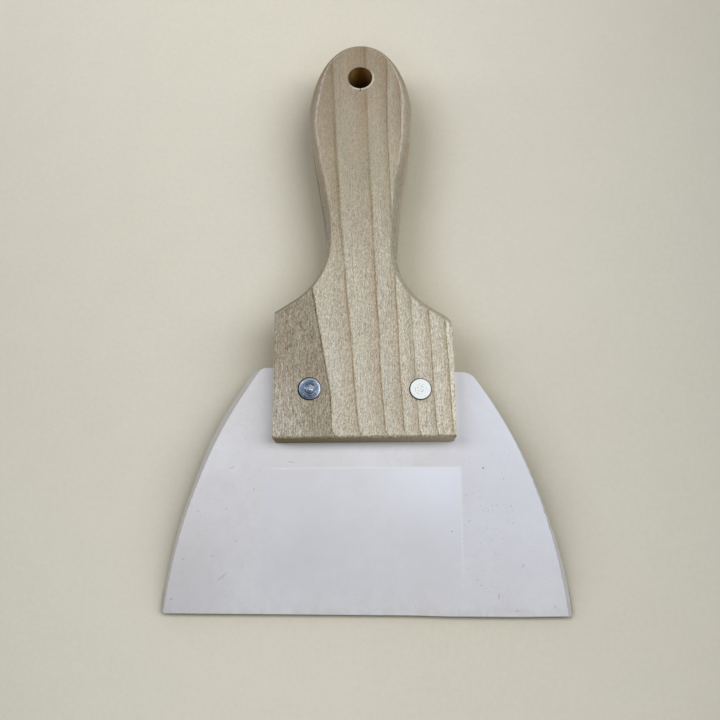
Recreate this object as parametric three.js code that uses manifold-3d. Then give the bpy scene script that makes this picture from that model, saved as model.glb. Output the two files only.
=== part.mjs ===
// Hand scraper: a white rubber blade riveted into the slotted block of a one-piece wooden handle.
// It is modelled as it lies on a bench, on the flat back of its handle, with the blade sagging.
// Millimetres. +X runs across the blade, +Y along the handle towards the hang hole, +Z up.
// The origin is on the handle's back, midway between the two rivets.

import * as THREE from 'three';
import { mergeVertices } from 'three/addons/utils/BufferGeometryUtils.js';
import Module from 'manifold-3d';

const wasm = await Module();
wasm.setup();

// ---------------------------------------------------------------- driving dimensions

// Handle, along Y
const FRONT_Y = -19; // front end of the block, where the blade comes out
const NECK_LEFT_Y = 58.5; // where the left shoulder's hollow leaves the neck
const NECK_RIGHT_Y = 55.5; // the right shoulder is cut 3 mm lower
const BULB_Y = 119.3; // widest place of the grip
const HANG_HOLE_Y = 133;
const TOP_Y = 150.2; // top end of the grip

// Handle, across and through
const HANDLE_THICKNESS = 22;
const BLOCK_HALF_WIDTH = 33.85;
const NECK_HALF_WIDTH = 13.6;
const BULB_HALF_WIDTH = 21.2;
const GRIP_X = -0.5; // the grip's centre line lies this far beside the block's
const SHOULDER_RADIUS = 28;
const SHOULDER_TURN = THREE.MathUtils.degToRad(57); // how far the hollow turns, neck to ramp
const RIGHT_CORNER = 3; // rounding where the right ramp meets the block's side; the left is sharp
const CHAMFER = 2.4; // along the grip and both shoulders, front and back
const FRONT_EASE = 1; // rounding of the block's front edges
const HANG_HOLE_RADIUS = 5;

// Pulls of the curves that shape the grip
const TOP_PULL = 15.6;
const BULB_PULL_UP = 5.8;
const BULB_PULL_DOWN = 15.8;
const NECK_PULL = 15.8;

// Blade
const EDGE_Y = -81; // scraping edge
const BLADE_TOP_Y = 9.5; // mean height of the edge inside the slot
const BLADE_TOP_SLOPE = 0.021; // the top edge falls this much per millimetre to the right
const TOP_SLOPE_REACH = 8; // how sharply that slope fades out below the top edge
const EDGE_HALF_WIDTH = 74.8; // at the front face
const SIDE_RADIUS = 200; // each side is one outward bowed arc
const SIDE_TOP_HALF_WIDTH = 39.4; // where the side arc would meet the top edge
const LEFT_TOP_CORNER = 3.5;
const RIGHT_TOP_CORNER = 6;
const ROOT_THICKNESS = 5;
const EDGE_THICKNESS = 3;
const EDGE_CLEARANCE = 0.1; // between the sagging edge and the plane of the handle's back
const LEFT_CUT = 0.65; // slant of the left side: millimetres out per millimetre down
const RIGHT_CUT = 0.6; // the right side slants only beside the scraping edge
const RIGHT_CUT_START_Y = -56;
const RIGHT_CUT_FULL_Y = -73;
const BLADE_TURN = THREE.MathUtils.degToRad(-0.5); // the blade sits slightly out of square

// Slot and rivets
const GAP = 0.3; // between a piece and the bore that it sits in
const SLOT_GAP = 0.2; // above and below the blade
const SLOT_END_Y = 12.5;
const RIVET_X = 20.6;
const HEAD_RADIUS = 4.3;
const HEAD_THICKNESS = 1.3;
const HEAD_SINK = 0.15; // the heads sit this far below the wood
const TUBE_RADIUS = 2.7;
const SHANK_RADIUS = 1.5;
const SHANK_LENGTH = 13;
const TUBE_LENGTH = 13;
const TUBE_BORE_END = 2.4; // solid metal under the cap's outer face
const HEAD_BEVEL = 0.2;
const DIMPLE_RADIUS = 1.9; // pressed into the cap when the rivet is closed
const DIMPLE_FLOOR_RADIUS = 1.1;
const DIMPLE_DEPTH = 0.35;

// Mesh fineness
const ARC_STEPS = 18;
const ROUND_STEPS = 40;
const EASE_STEPS = 5;
const SHORTEST_STEP = 0.01;
const MERGE_DISTANCE = 1e-4;
const SPARE = 2; // how far a cutting shape reaches past the piece that it cuts
const BLADE_ROWS = 44;

// ---------------------------------------------------------------- solids

function toSolid(geometry) {
  const bare = geometry.clone();
  bare.deleteAttribute('normal');
  bare.deleteAttribute('uv');
  const merged = mergeVertices(bare, MERGE_DISTANCE);
  const vertProperties = new Float32Array(merged.attributes.position.array);
  const triVerts = new Uint32Array(merged.index.array);
  return new wasm.Manifold(new wasm.Mesh({ numProp: 3, vertProperties, triVerts }));
}

function toGeometry(solid) {
  const mesh = solid.getMesh();
  const geometry = new THREE.BufferGeometry();
  geometry.setAttribute('position', new THREE.BufferAttribute(mesh.vertProperties, 3));
  geometry.setIndex(new THREE.BufferAttribute(mesh.triVerts, 1));
  geometry.computeVertexNormals();
  return geometry;
}

function uprightCylinder(radius, bottomZ, topZ, x, y) {
  const geometry = new THREE.CylinderGeometry(radius, radius, topZ - bottomZ, ROUND_STEPS);
  geometry.rotateX(Math.PI / 2);
  geometry.translate(x, y, (bottomZ + topZ) / 2);
  return toSolid(geometry);
}

// ---------------------------------------------------------------- handle

const RAMP_SLOPE = 1 / Math.tan(SHOULDER_TURN);

// Where the straight ramp under a shoulder's hollow meets the block's side (side is -1 or 1).
function cornerHeight(side, neckY, halfWidth) {
  const rampX = NECK_HALF_WIDTH + SHOULDER_RADIUS * (1 - Math.cos(SHOULDER_TURN));
  const rampY = neckY - SHOULDER_RADIUS * Math.sin(SHOULDER_TURN);
  return rampY - (halfWidth - side * GRIP_X - rampX) * RAMP_SLOPE;
}

// The outline in straight steps, leaving out the points that repeat where two curves meet.
function withoutRepeats(path) {
  const points = path.getPoints(ARC_STEPS);
  const kept = points.filter((point, i) => {
    const next = points[(i + 1) % points.length];
    return point.distanceTo(next) > SHORTEST_STEP;
  });
  return new THREE.Shape(kept);
}

// Plan of the handle, anticlockwise from the block's front left corner.
function handlePlan(halfWidth, frontY) {
  const rightY = cornerHeight(1, NECK_RIGHT_Y, halfWidth);
  const leftY = cornerHeight(-1, NECK_LEFT_Y, halfWidth);
  const arcX = NECK_HALF_WIDTH + SHOULDER_RADIUS;
  const plan = new THREE.Shape();
  plan.moveTo(-halfWidth, frontY);
  plan.lineTo(halfWidth, frontY);
  plan.lineTo(halfWidth, rightY - RIGHT_CORNER);
  plan.quadraticCurveTo(
    halfWidth, rightY,
    halfWidth - RIGHT_CORNER, rightY + RAMP_SLOPE * RIGHT_CORNER,
  );
  plan.absarc(GRIP_X + arcX, NECK_RIGHT_Y, SHOULDER_RADIUS, Math.PI + SHOULDER_TURN, Math.PI, true);
  plan.bezierCurveTo(
    GRIP_X + NECK_HALF_WIDTH, NECK_RIGHT_Y + NECK_PULL,
    GRIP_X + BULB_HALF_WIDTH, BULB_Y - BULB_PULL_DOWN,
    GRIP_X + BULB_HALF_WIDTH, BULB_Y,
  );
  plan.bezierCurveTo(
    GRIP_X + BULB_HALF_WIDTH, BULB_Y + BULB_PULL_UP,
    GRIP_X + TOP_PULL, TOP_Y,
    GRIP_X, TOP_Y,
  );
  plan.bezierCurveTo(
    GRIP_X - TOP_PULL, TOP_Y,
    GRIP_X - BULB_HALF_WIDTH, BULB_Y + BULB_PULL_UP,
    GRIP_X - BULB_HALF_WIDTH, BULB_Y,
  );
  plan.bezierCurveTo(
    GRIP_X - BULB_HALF_WIDTH, BULB_Y - BULB_PULL_DOWN,
    GRIP_X - NECK_HALF_WIDTH, NECK_LEFT_Y + NECK_PULL,
    GRIP_X - NECK_HALF_WIDTH, NECK_LEFT_Y,
  );
  plan.absarc(GRIP_X - arcX, NECK_LEFT_Y, SHOULDER_RADIUS, 0, -SHOULDER_TURN, true);
  plan.lineTo(-halfWidth, leftY);
  return withoutRepeats(plan);
}

// The plan cut through a board that is thicker than the handle.
function squareSlab() {
  const plan = handlePlan(BLOCK_HALF_WIDTH, FRONT_Y - SPARE);
  const geometry = new THREE.ExtrudeGeometry(plan, {
    depth: HANDLE_THICKNESS + 2 * SPARE,
    bevelEnabled: false,
  });
  geometry.translate(0, 0, -SPARE);
  return toSolid(geometry);
}

// The same plan with a wider, longer block, so that its chamfer misses the real block's edges.
function chamferedSlab() {
  const plan = handlePlan(BLOCK_HALF_WIDTH + 4 * CHAMFER, FRONT_Y - 4 * CHAMFER);
  const geometry = new THREE.ExtrudeGeometry(plan, {
    depth: HANDLE_THICKNESS - 2 * CHAMFER,
    bevelThickness: CHAMFER,
    bevelSize: CHAMFER,
    bevelOffset: -CHAMFER,
    bevelSegments: 1,
  });
  geometry.translate(0, 0, CHAMFER);
  return toSolid(geometry);
}

// Side view that trims the block's front end and eases its edges, drawn out across the width.
function frontTrim() {
  const back = TOP_Y + SPARE;
  const eased = FRONT_Y + FRONT_EASE;
  const profile = new THREE.Shape();
  profile.moveTo(back, -SPARE);
  profile.lineTo(back, HANDLE_THICKNESS + SPARE);
  profile.lineTo(eased, HANDLE_THICKNESS + SPARE);
  profile.lineTo(eased, HANDLE_THICKNESS);
  profile.absarc(eased, HANDLE_THICKNESS - FRONT_EASE, FRONT_EASE, Math.PI / 2, Math.PI, false);
  profile.absarc(eased, FRONT_EASE, FRONT_EASE, Math.PI, Math.PI * 1.5, false);
  profile.lineTo(eased, -SPARE);
  const width = 2 * (BLOCK_HALF_WIDTH + SPARE);
  const geometry = new THREE.ExtrudeGeometry(profile, {
    depth: width,
    bevelEnabled: false,
    curveSegments: EASE_STEPS,
  });
  geometry.translate(0, 0, -width / 2);
  const alongY = new THREE.Vector3(0, 1, 0);
  const alongZ = new THREE.Vector3(0, 0, 1);
  const alongX = new THREE.Vector3(1, 0, 0);
  geometry.applyMatrix4(new THREE.Matrix4().makeBasis(alongY, alongZ, alongX));
  return toSolid(geometry);
}

function slot() {
  const length = SLOT_END_Y - FRONT_Y + SPARE;
  const width = 2 * (BLOCK_HALF_WIDTH + SPARE);
  const geometry = new THREE.BoxGeometry(width, length, ROOT_THICKNESS + 2 * SLOT_GAP);
  geometry.translate(0, SLOT_END_Y - length / 2, HANDLE_THICKNESS / 2);
  return toSolid(geometry);
}

function handleGeometry() {
  const below = -SPARE;
  const above = HANDLE_THICKNESS + SPARE;
  let solid = squareSlab().intersect(chamferedSlab()).intersect(frontTrim()).subtract(slot());
  solid = solid.subtract(uprightCylinder(HANG_HOLE_RADIUS, below, above, GRIP_X, HANG_HOLE_Y));
  const pocket = HEAD_SINK + HEAD_THICKNESS + GAP;
  for (const x of [-RIVET_X, RIVET_X]) {
    const bore = uprightCylinder(TUBE_RADIUS + GAP, below, above, x, 0);
    const backPocket = uprightCylinder(HEAD_RADIUS + GAP, below, pocket, x, 0);
    const frontPocket = uprightCylinder(HEAD_RADIUS + GAP, HANDLE_THICKNESS - pocket, above, x, 0);
    solid = solid.subtract(bore).subtract(backPocket).subtract(frontPocket);
  }
  return toGeometry(solid);
}

// ---------------------------------------------------------------- blade

const FREE_LENGTH = FRONT_Y - EDGE_Y;
const BLADE_LENGTH = BLADE_TOP_Y - EDGE_Y;
const EDGE_DROP = HANDLE_THICKNESS / 2 - EDGE_THICKNESS / 2 - EDGE_CLEARANCE;

// Centre of the right side's arc, which passes through the ends of the side.
function sideArcCentre() {
  const bottom = new THREE.Vector2(EDGE_HALF_WIDTH, EDGE_Y);
  const top = new THREE.Vector2(SIDE_TOP_HALF_WIDTH, BLADE_TOP_Y);
  const chord = top.clone().sub(bottom);
  const inward = new THREE.Vector2(-chord.y, chord.x).normalize();
  const depth = Math.sqrt(SIDE_RADIUS ** 2 - (chord.length() / 2) ** 2);
  return bottom.add(top).multiplyScalar(0.5).addScaledVector(inward, depth);
}

const SIDE_CENTRE = sideArcCentre();

function sideHalfWidth(y) {
  return SIDE_CENTRE.x + Math.sqrt(SIDE_RADIUS ** 2 - (y - SIDE_CENTRE.y) ** 2);
}

// Half width of the front face at y, with the top corner rounded to the radius given.
function bladeHalfWidth(y, corner) {
  const lean = Math.asin((BLADE_TOP_Y - SIDE_CENTRE.y) / SIDE_RADIUS);
  const tangentY = BLADE_TOP_Y - corner * (1 - Math.sin(lean));
  if (y <= tangentY) {
    return sideHalfWidth(y);
  }
  const roundX = sideHalfWidth(tangentY) - corner * Math.cos(lean);
  const rise = y - (BLADE_TOP_Y - corner);
  return roundX + Math.sqrt(Math.max(corner ** 2 - rise ** 2, 0));
}

// How far y lies out along the free part of the blade: 0 at the slot's mouth, 1 at the edge.
function reach(y) {
  return THREE.MathUtils.clamp((FRONT_Y - y) / FREE_LENGTH, 0, 1);
}

// The sag of a strip held at one end and loaded by its own weight, and its slope.
function sag(y) {
  const u = reach(y);
  return (EDGE_DROP * (6 * u ** 2 - 4 * u ** 3 + u ** 4)) / 3;
}

function sagSlope(y) {
  const u = reach(y);
  return (EDGE_DROP * (12 * u - 12 * u ** 2 + 4 * u ** 3)) / 3 / FREE_LENGTH;
}

function bladeThickness(y) {
  return THREE.MathUtils.lerp(ROOT_THICKNESS, EDGE_THICKNESS, reach(y));
}

function rightCut(y) {
  return RIGHT_CUT * (1 - THREE.MathUtils.smoothstep(y, RIGHT_CUT_FULL_Y, RIGHT_CUT_START_Y));
}

// A box whose corners run -1..1, with each vertex moved to its place on the blade.
function bladeGeometry() {
  const geometry = new THREE.BoxGeometry(2, 2, 2, 4, BLADE_ROWS, 1);
  const position = geometry.attributes.position;
  const point = new THREE.Vector3();
  for (let i = 0; i < position.count; i += 1) {
    point.fromBufferAttribute(position, i);
    const along = Math.sin(((point.y + 1) / 2) * (Math.PI / 2)); // rows crowd towards the corners
    const y = EDGE_Y + BLADE_LENGTH * along;
    const thickness = bladeThickness(y);
    const corner = point.x < 0 ? LEFT_TOP_CORNER : RIGHT_TOP_CORNER;
    const depth = (thickness * (1 - point.z)) / 2;
    const cut = point.x < 0 ? LEFT_CUT : rightCut(y);
    const x = point.x * (bladeHalfWidth(y, corner) + cut * depth);
    const tilt = Math.atan(sagSlope(y));
    const offset = (thickness / 2) * point.z;
    const slopeFade = along ** TOP_SLOPE_REACH;
    position.setXYZ(
      i,
      x,
      y - Math.sin(tilt) * offset - BLADE_TOP_SLOPE * x * slopeFade,
      HANDLE_THICKNESS / 2 - sag(y) + Math.cos(tilt) * offset,
    );
  }
  geometry.rotateZ(BLADE_TURN);
  let solid = toSolid(geometry);
  for (const x of [-RIVET_X, RIVET_X]) {
    solid = solid.subtract(uprightCylinder(TUBE_RADIUS + GAP, 0, HANDLE_THICKNESS, x, 0));
  }
  return toGeometry(solid);
}

// ---------------------------------------------------------------- rivets

// Both halves are drawn as profiles of radius against height, and turned round the Z axis.
function turned(profile) {
  const points = profile.map(([radius, height]) => new THREE.Vector2(radius, height));
  const geometry = new THREE.LatheGeometry(points, ROUND_STEPS);
  geometry.rotateX(Math.PI / 2);
  return toGeometry(toSolid(geometry));
}

// Solid half: its head is at the back of the handle and its shank points up.
function postGeometry() {
  const bottom = HEAD_SINK;
  const shoulderZ = bottom + HEAD_THICKNESS;
  return turned([
    [0, bottom],
    [HEAD_RADIUS - HEAD_BEVEL, bottom],
    [HEAD_RADIUS, bottom + HEAD_BEVEL],
    [HEAD_RADIUS, shoulderZ],
    [SHANK_RADIUS, shoulderZ],
    [SHANK_RADIUS, bottom + SHANK_LENGTH],
    [0, bottom + SHANK_LENGTH],
  ]);
}

// Tubular half: its head is at the front of the handle and its tube points down.
function capGeometry() {
  const top = HANDLE_THICKNESS - HEAD_SINK;
  const shoulderZ = top - HEAD_THICKNESS;
  const tubeEnd = top - TUBE_LENGTH;
  const boreRadius = SHANK_RADIUS + GAP;
  return turned([
    [0, top - TUBE_BORE_END],
    [boreRadius, top - TUBE_BORE_END],
    [boreRadius, tubeEnd],
    [TUBE_RADIUS, tubeEnd],
    [TUBE_RADIUS, shoulderZ],
    [HEAD_RADIUS, shoulderZ],
    [HEAD_RADIUS, top - HEAD_BEVEL],
    [HEAD_RADIUS - HEAD_BEVEL, top],
    [DIMPLE_RADIUS, top],
    [DIMPLE_FLOOR_RADIUS, top - DIMPLE_DEPTH],
    [0, top - DIMPLE_DEPTH],
  ]);
}

// ---------------------------------------------------------------- assembly

function material(color, roughness, metalness) {
  return new THREE.MeshStandardMaterial({ color, roughness, metalness });
}

function named(name, geometry, look) {
  const mesh = new THREE.Mesh(geometry, look);
  mesh.name = name;
  return mesh;
}

function rivet(side) {
  const steel = material(0xb9bcc0, 0.35, 1);
  const pair = new THREE.Group();
  pair.add(named(`${side}_rivet_post`, postGeometry(), steel));
  pair.add(named(`${side}_rivet_cap`, capGeometry(), steel));
  return pair;
}

const group = new THREE.Group();
group.add(named('wooden_handle', handleGeometry(), material(0xc4b594, 0.75, 0)));
group.add(named('rubber_blade', bladeGeometry(), material(0xd2d2d4, 0.6, 0)));

const leftRivet = rivet('left');
leftRivet.position.x = -RIVET_X;
group.add(leftRivet);

// The right rivet went in from the other face, so its cap is at the back.
const rightRivet = rivet('right');
rightRivet.position.set(RIVET_X, 0, HANDLE_THICKNESS);
rightRivet.rotation.x = Math.PI;
group.add(rightRivet);

export default group;
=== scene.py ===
"""Looks of the hand scraper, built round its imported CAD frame.

Lengths in this file are millimetres until a mesh is made."""

import math

import bpy
import numpy as np
from mathutils import Matrix, Vector
from mathutils.geometry import delaunay_2d_cdt


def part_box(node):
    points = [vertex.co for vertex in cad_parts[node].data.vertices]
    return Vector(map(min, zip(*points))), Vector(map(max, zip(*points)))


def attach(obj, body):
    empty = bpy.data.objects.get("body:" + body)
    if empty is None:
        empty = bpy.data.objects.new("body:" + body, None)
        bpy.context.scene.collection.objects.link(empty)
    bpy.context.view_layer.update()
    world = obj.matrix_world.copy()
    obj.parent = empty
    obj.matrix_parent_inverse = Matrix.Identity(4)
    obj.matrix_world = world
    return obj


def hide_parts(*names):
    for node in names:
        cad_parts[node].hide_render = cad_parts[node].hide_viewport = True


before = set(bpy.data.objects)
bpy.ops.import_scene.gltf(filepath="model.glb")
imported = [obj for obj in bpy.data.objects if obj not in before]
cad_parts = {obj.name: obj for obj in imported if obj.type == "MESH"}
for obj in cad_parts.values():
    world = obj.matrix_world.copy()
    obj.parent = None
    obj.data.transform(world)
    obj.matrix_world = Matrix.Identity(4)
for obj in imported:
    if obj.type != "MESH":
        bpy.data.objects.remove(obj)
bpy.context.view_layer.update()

MM = 0.001


def cad_mm(node):
    """Lowest and highest corner of a CAD node, in millimetres."""
    return [np.array(corner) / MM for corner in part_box(node)]


# ---------------------------------------------------------------- dimensions

HANDLE_LOW, HANDLE_HIGH = cad_mm("wooden_handle")
LEFT_HEAD_Z = cad_mm("left_rivet_cap")[1][2]
RIGHT_LOW, RIGHT_HIGH = cad_mm("right_rivet_cap")

FRONT_Y = HANDLE_LOW[1]
TOP_Y = HANDLE_HIGH[1]
THICKNESS = HANDLE_HIGH[2]
BLOCK_HALF_WIDTH = HANDLE_HIGH[0]

NECK_LEFT_Y = 58.5
NECK_RIGHT_Y = 55.5
BULB_Y = 119.3
HANG_HOLE_Y = 133.0
HANG_HOLE_RADIUS = 5.0
NECK_HALF_WIDTH = 13.6
BULB_HALF_WIDTH = 21.2
GRIP_X = -0.5
SHOULDER_RADIUS = 28.0
SHOULDER_TURN = math.radians(57)
RIGHT_CORNER = 3.0
FRONT_INSET = 1.6
FRONT_DROP = 1.5
SIDE_EASE = 0.35
FRONT_CORNER = 1.0
TOP_PULL = 16.7
TOP_TRIM = 1.45
BULB_PULL_UP = 5.8
BULB_PULL_DOWN = 15.8
NECK_PULL = 15.8

EDGE_Y = -81.0
BLADE_TOP_Y = 9.2
BLADE_TOP_SLOPE = 0.021
TOP_SLOPE_REACH = 8
EDGE_HALF_WIDTH = 74.6
SIDE_SHIFT = 0.7
SIDE_RADIUS = 200.0
SIDE_TOP_HALF_WIDTH = 39.4
LEFT_TOP_CORNER = 3.5
RIGHT_TOP_CORNER = 6.0
ROOT_THICKNESS = 5.0
EDGE_THICKNESS = 3.0
EDGE_CLEARANCE = 0.1
LEFT_CUT = 0.52
LEFT_CUT_TOP = 0.75
RIGHT_CUT = 0.58
RIGHT_CUT_TOP = 0.28
RIGHT_CUT_START_Y = -36.0
RIGHT_CUT_FULL_Y = -74.0
BLADE_TURN = math.radians(-0.78)
BLADE_EASE = 0.28

GAP = 0.3
SLOT_LOW = (THICKNESS - ROOT_THICKNESS) / 2 - 0.2
SLOT_HIGH = THICKNESS - SLOT_LOW
SLOT_END_Y = 12.5
RIVET_X = (RIGHT_LOW[0] + RIGHT_HIGH[0]) / 2
HEAD_RADIUS = (RIGHT_HIGH[0] - RIGHT_LOW[0]) / 2 - 0.17
HEAD_GAP = 0.22
RECESS_OFF = 0.11  # how far the recesses lie off the rivets' axes, to the left and down
# The two rivets as (x, y, head radius): drilled by hand, not quite level, the right head a little smaller.
RIVETS = [(-RIVET_X + 0.45, 0.0, HEAD_RADIUS), (RIVET_X + 0.5, -0.6, HEAD_RADIUS - 0.25)]
HEAD_THICKNESS = 1.3
HEAD_SINK = THICKNESS - LEFT_HEAD_Z
TUBE_RADIUS = 2.7
SHANK_RADIUS = 1.5
SHANK_LENGTH = 13.0
TUBE_LENGTH = 13.0
TUBE_BORE_END = 2.4


# ---------------------------------------------------------------- mesh building

class Skin:
    """Vertices and faces of one closed surface, with a value per vertex that its material reads."""

    def __init__(self):
        self.points = []
        self.values = []
        self.faces = []

    def add(self, points, value=0.0):
        start = len(self.points)
        self.points.extend(tuple(float(c) for c in p) for p in points)
        self.values.extend([value] * (len(self.points) - start) if np.isscalar(value) else value)
        return list(range(start, len(self.points)))

    def strip(self, low, high, closed=True, keep=None):
        """Quads between two rows of vertices. They face out if both rows run anticlockwise."""
        count = len(low) if closed else len(low) - 1
        for i in range(count):
            if keep is None or keep(i):
                j = (i + 1) % len(low)
                self.faces.append((low[i], low[j], high[j], high[i]))

    def cap(self, loops, spacing, up, level):
        """Fills a flat face between an outer loop and its holes, with an even spread of vertices inside."""
        ids = [i for loop in loops for i in loop]
        flat = np.array([self.points[i][:2] for i in ids])
        edges, start = [], 0
        rings = []
        for loop in loops:
            n = len(loop)
            edges += [(start + i, start + (i + 1) % n) for i in range(n)]
            rings.append(flat[start:start + n])
            start += n
        low, high = flat.min(0), flat.max(0)
        gx = np.arange(low[0] + spacing / 2, high[0], spacing)
        gy = np.arange(low[1] + spacing / 2, high[1], spacing * 0.87)
        grid = np.array([(x + (spacing / 2 if row % 2 else 0), y) for row, y in enumerate(gy) for x in gx])
        grid = grid[self.inside(grid, rings)]
        near = np.array([np.min(np.sum((flat - p) ** 2, 1)) for p in grid])
        grid = grid[near > (0.6 * spacing) ** 2]
        new = self.add([(x, y, level) for x, y in grid])
        ids += new
        coords = [Vector(p) for p in flat] + [Vector(p) for p in grid]
        out, _, tris, origin, _, _ = delaunay_2d_cdt(coords, edges, [], 0, 1e-6)
        centres = np.array([np.mean([out[i][:] for i in t], 0) for t in tris])
        for t, good in zip(tris, self.inside(centres, rings)):
            if good:
                face = [ids[origin[i][0]] for i in t]
                a, b, c = [np.array(self.points[i][:2]) for i in face]
                turn = (b[0] - a[0]) * (c[1] - a[1]) - (b[1] - a[1]) * (c[0] - a[0])
                if (turn > 0) != up:
                    face.reverse()
                self.faces.append(tuple(face))

    @staticmethod
    def inside(points, rings):
        """Which points lie inside the first ring and outside the others."""
        hits = np.zeros((len(rings), len(points)), int)
        for r, ring in enumerate(rings):
            for a, b in zip(ring, np.roll(ring, -1, 0)):
                cross = (a[1] > points[:, 1]) != (b[1] > points[:, 1])
                with np.errstate(divide="ignore", invalid="ignore"):
                    x = a[0] + (points[:, 1] - a[1]) * (b[0] - a[0]) / (b[1] - a[1])
                hits[r] += cross & (points[:, 0] < x)
        odd = hits % 2 == 1
        return odd[0] & ~odd[1:].any(0)

    def piece(self, name, replaced, slot, material, sharp=35.0, move=None):
        points = np.array(self.points, float)
        if move is not None:
            points = move(points)
        mesh = bpy.data.meshes.new(name)
        mesh.from_pydata((points * MM).tolist(), [], self.faces)
        mesh.update()
        layer = mesh.attributes.new("mark", "FLOAT", "POINT")
        layer.data.foreach_set("value", np.array(self.values, np.float32))
        mesh.polygons.foreach_set("use_smooth", [True] * len(mesh.polygons))
        mesh.set_sharp_from_angle(angle=math.radians(sharp))
        mesh.materials.append(material)
        piece = show(name, mesh)
        weighted = piece.modifiers.new("even_normals", "WEIGHTED_NORMAL")
        weighted.keep_sharp = True
        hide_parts(replaced)
        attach(piece, "root")
        return piece


def show(name, data):
    """A new object in the scene."""
    new = bpy.data.objects.new(name, data)
    bpy.context.scene.collection.objects.link(new)
    return new


def circle(x, y, radius, count):
    angles = np.arange(count) * 2 * math.pi / count
    return np.stack([x + radius * np.cos(angles), y + radius * np.sin(angles)], 1)


def at_height(flat, z):
    flat = np.asarray(flat, float)
    return np.column_stack([flat, np.full(len(flat), z) if np.isscalar(z) else z])


def bezier(a, b, c, d, count):
    """Points of a cubic curve, without the last one."""
    t = (np.arange(count) / count)[:, None]
    a, b, c, d = (np.array(p, float) for p in (a, b, c, d))
    return (1 - t) ** 3 * a + 3 * (1 - t) ** 2 * t * b + 3 * (1 - t) * t ** 2 * c + t ** 3 * d


def line(a, b, count):
    """Points from a towards b, without b."""
    t = (np.arange(count) / count)[:, None]
    return np.array(a, float) * (1 - t) + np.array(b, float) * t


def arc(cx, cy, radius, start, end, count):
    """Points of an arc, without the last one."""
    angles = np.radians(start + (end - start) * np.arange(count) / count)
    return np.stack([cx + radius * np.cos(angles), cy + radius * np.sin(angles)], 1)


def outward(along):
    """Unit normals of an anticlockwise curve, from vectors along it."""
    along = along / np.linalg.norm(along, axis=1)[:, None]
    return np.stack([along[:, 1], -along[:, 0]], 1)


def quarter(angle):
    """How far in and how far down a unit quarter round has come at an angle in degrees."""
    return 1 - math.sin(math.radians(angle)), 1 - math.cos(math.radians(angle))


QUARTER_ROUND = [quarter(angle) for angle in range(0, 91, 15)]


def smooth(x, low, high):
    t = np.clip((np.asarray(x, float) - low) / (high - low), 0, 1)
    return t * t * (3 - 2 * t)


# ---------------------------------------------------------------- handle

RAMP_SLOPE = 1 / math.tan(SHOULDER_TURN)
RAMP_STEEP = math.hypot(1, RAMP_SLOPE)

# Chamfer width along the grip, left and right: it was cut by hand, so it wanders.
CHAMFER_LEFT = ([34, 57, 70, 104, 112, 120, 127, 136, 144, 149],
                [1.0, 1.6, 2.1, 2.3, 2.3, 3.3, 3.4, 2.4, 1.5, 0.6])
CHAMFER_RIGHT = ([27, 55, 64, 76, 84, 92, 104, 117, 126, 136, 144, 149],
                 [1.7, 2.1, 2.1, 2.7, 3.3, 2.9, 3.0, 3.6, 2.9, 2.2, 1.4, 0.6])


def corner_height(side, neck_y):
    """Where the straight ramp under a shoulder's hollow meets the block's side."""
    ramp_x = NECK_HALF_WIDTH + SHOULDER_RADIUS * (1 - math.cos(SHOULDER_TURN))
    ramp_y = neck_y - SHOULDER_RADIUS * math.sin(SHOULDER_TURN)
    return ramp_y - (BLOCK_HALF_WIDTH - side * GRIP_X - ramp_x) * RAMP_SLOPE


RIGHT_CORNER_Y = corner_height(1, NECK_RIGHT_Y)
LEFT_CORNER_Y = corner_height(-1, NECK_LEFT_Y)
SIDE_STOP = 4.2  # the chamfer has run out this far below a shoulder's corner


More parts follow.
